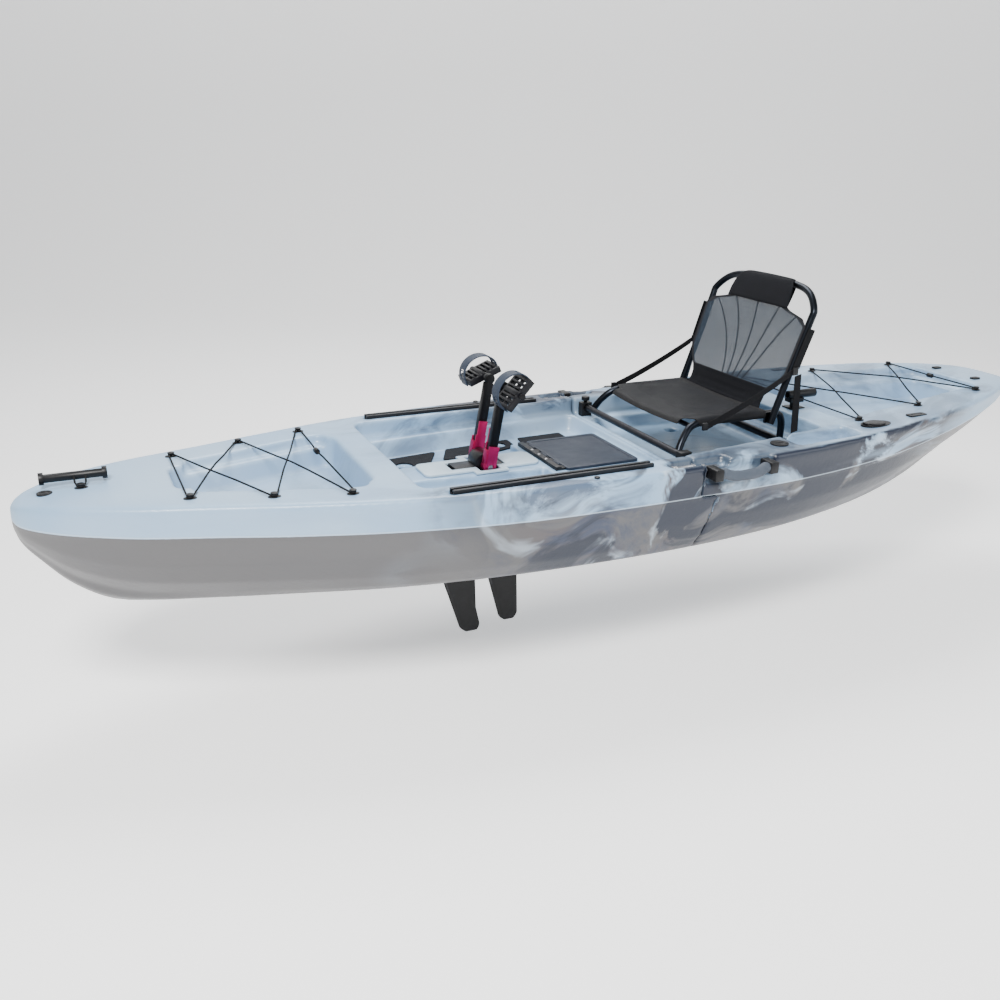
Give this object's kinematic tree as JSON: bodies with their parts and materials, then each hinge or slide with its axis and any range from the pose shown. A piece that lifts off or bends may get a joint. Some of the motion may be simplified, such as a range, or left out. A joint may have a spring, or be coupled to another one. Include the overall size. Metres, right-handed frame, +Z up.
{
  "type": "pedal boat",
  "caption": "Sit-on-top pedal boat: split moulded hull, flapping-fin pedal drive, framed seat, laced tank wells, hatch, gear tracks and rod holders.",
  "frame": {"origin": "on the centreline amidships at the keel baseline, the point the boat's lines are measured from", "axes": "+X aft, +Y starboard, +Z up; the bow points along -X"},
  "size_m": [3.32, 0.966, 1.0881],
  "materials": {
    "hull_front": "rotomoulded marbled plastic",
    "hull_rear": "rotomoulded marbled plastic",
    "black_plastic": "moulded black plastic",
    "cord": "braided elastic cord",
    "track": "anodised",
    "foam": "brushed foam",
    "steel": "satin",
    "grip": "satin grip",
    "lid": "slate moulding",
    "plate": "hull coloured moulding",
    "spine": "glass filled moulding",
    "shaft": "turned",
    "crank": "black anodised",
    "bracket": "magenta anodised forging",
    "pedal": "ribbed plastic",
    "strap": "slate moulded strap",
    "fin": "flexible blade",
    "mast": "satin",
    "seat_tube": "dark anodised tube",
    "crossbar": "dark anodised tube",
    "sling": "textured coated fabric",
    "mesh": "blue grey open mesh",
    "pad": "padded panel",
    "webbing": "woven webbing"
  },
  "bodies": {
    "boat": {"hull_front": "hull_front", "hull_rear": "hull_rear", "drain_plug": "black_plastic", "bow_handle": "black_plastic", "bow_handle_cord": "cord", "pad_eyes": "black_plastic", "lacing_front": "cord", "lacing_rear": "cord", "cord_lock": "black_plastic", "track_port": "track", "track_starboard": "track", "floor_pad_fore": "foam", "floor_pad_mid": "foam", "floor_pad_aft": "foam", "gunwale_plugs": "black_plastic", "latch_bases": "steel", "latch_keepers": "steel", "handle_port": "grip", "handle_starboard": "grip", "handle_caps": "black_plastic", "hatch_hinge_bar": "black_plastic", "hatch_studs": "steel", "drive_plate": "plate", "drive_spine": "spine", "drive_gears": "spine", "crank_shaft": "shaft", "seat_frame": "seat_tube", "seat_crossbar": "crossbar", "seat_clamps": "black_plastic", "seat_back_frame": "seat_tube", "seat_base_fabric": "sling", "seat_back_mesh": "mesh", "seat_headrest": "pad", "seat_lumbar": "pad", "seat_straps": "webbing", "seat_buckles": "black_plastic", "flush_caps": "black_plastic", "holder_flange_port": "black_plastic", "holder_flange_starboard": "black_plastic", "rod_bracket": "black_plastic", "accessory_plates": "black_plastic"},
    "crank_port": {"crank_port": "crank", "crank_bracket_port": "bracket"},
    "crank_starboard": {"crank_starboard": "crank", "crank_bracket_starboard": "bracket"},
    "pedal_port": {"pedal_port": "pedal", "pedal_strap_port": "strap"},
    "pedal_starboard": {"pedal_starboard": "pedal", "pedal_strap_starboard": "strap"},
    "fin_front": {"fin_front": "fin", "fin_mast_front": "mast"},
    "fin_rear": {"fin_rear": "fin", "fin_mast_rear": "mast"},
    "hatch_lid": {"hatch_lid": "lid"},
    "latch_lever_port": {"latch_lever_port": "steel"},
    "latch_lever_starboard": {"latch_lever_starboard": "steel"},
    "holder_cap_port": {"holder_cap_port": "black_plastic"},
    "holder_cap_starboard": {"holder_cap_starboard": "black_plastic"},
    "seat_knob": {"seat_knob": "black_plastic"}
  },
  "joints": [
    {"name": "crank_port_swing", "type": "hinge", "parent": "boat", "child": "crank_port", "pos_m": [-0.392, 0, 0.256], "axis": [0, 1, 0], "range_deg": [-25, 25]},
    {"name": "crank_starboard_swing", "type": "hinge", "parent": "boat", "child": "crank_starboard", "pos_m": [-0.392, 0, 0.256], "axis": [0, 1, 0], "range_deg": [-25, 25]},
    {"name": "pedal_port_turn", "type": "hinge", "parent": "crank_port", "child": "pedal_port", "pos_m": [-0.34995, -0.122, 0.49162], "axis": [0, 1, 0], "range_deg": [-35, 35]},
    {"name": "pedal_starboard_turn", "type": "hinge", "parent": "crank_starboard", "child": "pedal_starboard", "pos_m": [-0.34995, 0.122, 0.49162], "axis": [0, 1, 0], "range_deg": [-35, 35]},
    {"name": "fin_front_flap", "type": "hinge", "parent": "boat", "child": "fin_front", "pos_m": [-0.477, 0, -0.026], "axis": [1, 0, 0], "range_deg": [-75, 75]},
    {"name": "fin_rear_flap", "type": "hinge", "parent": "boat", "child": "fin_rear", "pos_m": [-0.33, 0, -0.026], "axis": [1, 0, 0], "range_deg": [-75, 75]},
    {"name": "hatch_lid_open", "type": "hinge", "parent": "boat", "child": "hatch_lid", "pos_m": [-0.186, 0, 0.2493], "axis": [0, -1, 0], "range_deg": [0, 75]},
    {"name": "latch_port_open", "type": "hinge", "parent": "boat", "child": "latch_lever_port", "pos_m": [0.026, -0.398, 0.3043], "axis": [0, -1, 0], "range_deg": [0, 110]},
    {"name": "latch_starboard_open", "type": "hinge", "parent": "boat", "child": "latch_lever_starboard", "pos_m": [0.026, 0.398, 0.3043], "axis": [0, -1, 0], "range_deg": [0, 110]},
    {"name": "holder_cap_port_open", "type": "hinge", "parent": "boat", "child": "holder_cap_port", "pos_m": [0.746, -0.348, 0.3467], "axis": [0, -1, 0], "range_deg": [0, 120]},
    {"name": "holder_cap_starboard_open", "type": "hinge", "parent": "boat", "child": "holder_cap_starboard", "pos_m": [0.746, 0.348, 0.3467], "axis": [0, -1, 0], "range_deg": [0, 120]},
    {"name": "seat_knob_turn", "type": "hinge", "parent": "boat", "child": "seat_knob", "pos_m": [0.118, 0.295, 0.32], "axis": [0, 0, 1], "continuous": true}
  ],
  "couplings": [
    {"joint": "crank_starboard_swing", "follows": "crank_port_swing", "ratio": -1},
    {"joint": "fin_front_flap", "follows": "crank_port_swing", "ratio": 3},
    {"joint": "fin_rear_flap", "follows": "crank_port_swing", "ratio": -3}
  ]
}
